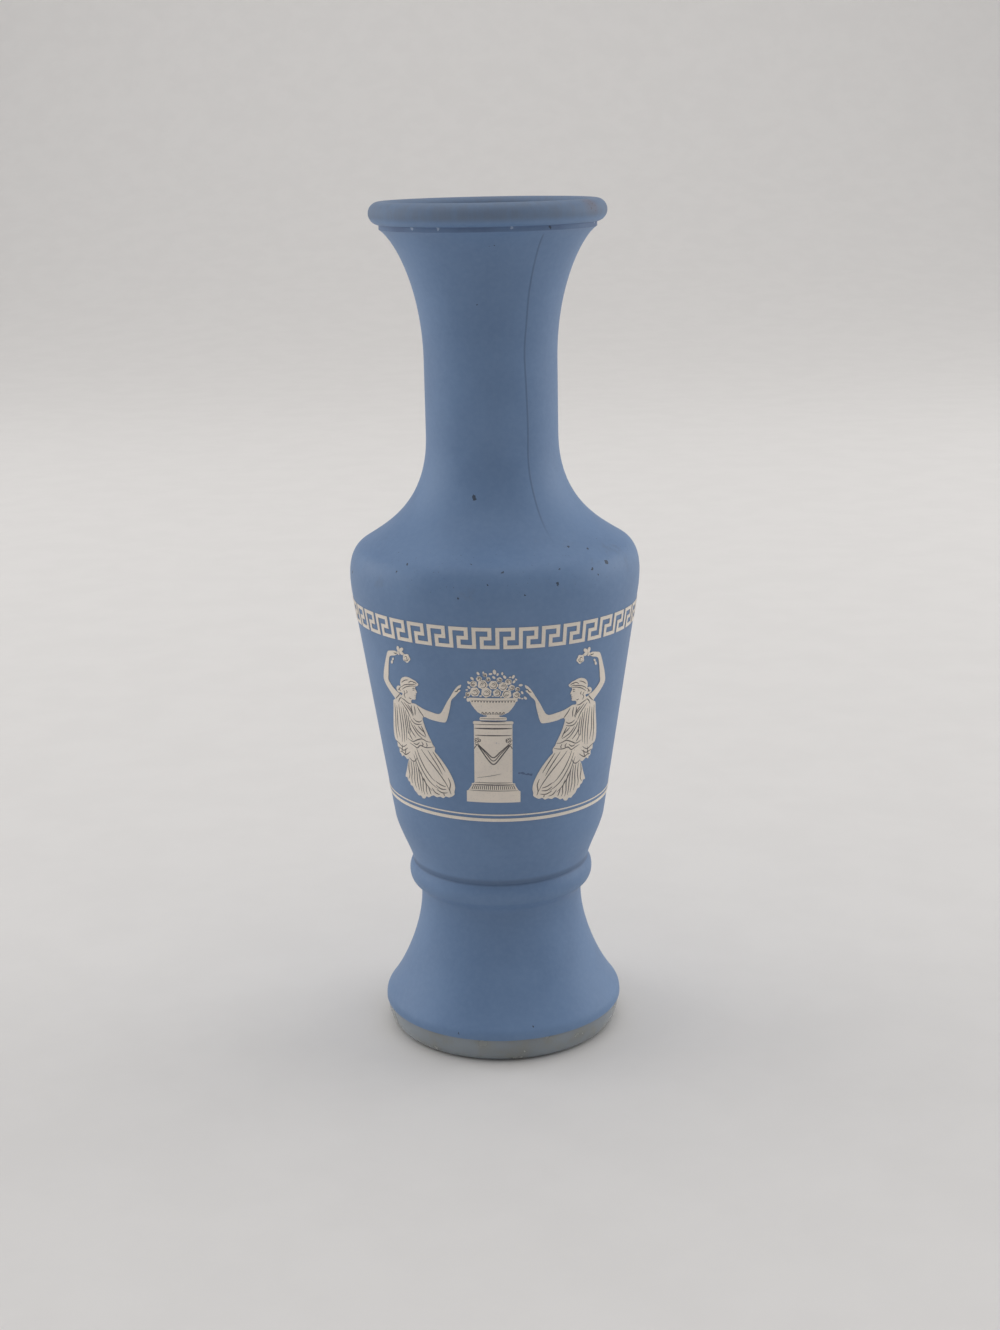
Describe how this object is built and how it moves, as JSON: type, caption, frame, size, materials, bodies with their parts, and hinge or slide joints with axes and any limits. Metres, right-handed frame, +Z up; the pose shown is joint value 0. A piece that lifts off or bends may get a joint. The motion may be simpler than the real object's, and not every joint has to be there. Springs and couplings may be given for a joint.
{
  "type": "bud vase",
  "caption": "Tall bottle-shaped bud vase with a narrow flared neck, round shoulder, tapering body, ring bead and spread foot, satin coated with a printed classical scene.",
  "frame": {"origin": "centre of the stand ring, on the surface the vase stands on", "axes": "+Z up along the vase's axis; -Y out through the middle of the printed scene; +X to the viewer's right"},
  "size_m": [0.0652, 0.0652, 0.19],
  "materials": {
    "glass": "clear moulded glass, bare at the heel",
    "satin_blue": "satin sprayed coat",
    "cream_print": "matt screen-printed ink"
  },
  "bodies": {
    "root": {"glass_vessel": "glass", "blue_coat": "satin_blue", "key_band": "cream_print", "maiden_left": "cream_print", "maiden_right": "cream_print", "sprig_left": "cream_print", "sprig_right": "cream_print", "flower_bowl": "cream_print", "plinth": "cream_print", "rule_lower": "cream_print", "rule_upper": "cream_print"}
  },
  "joints": []
}
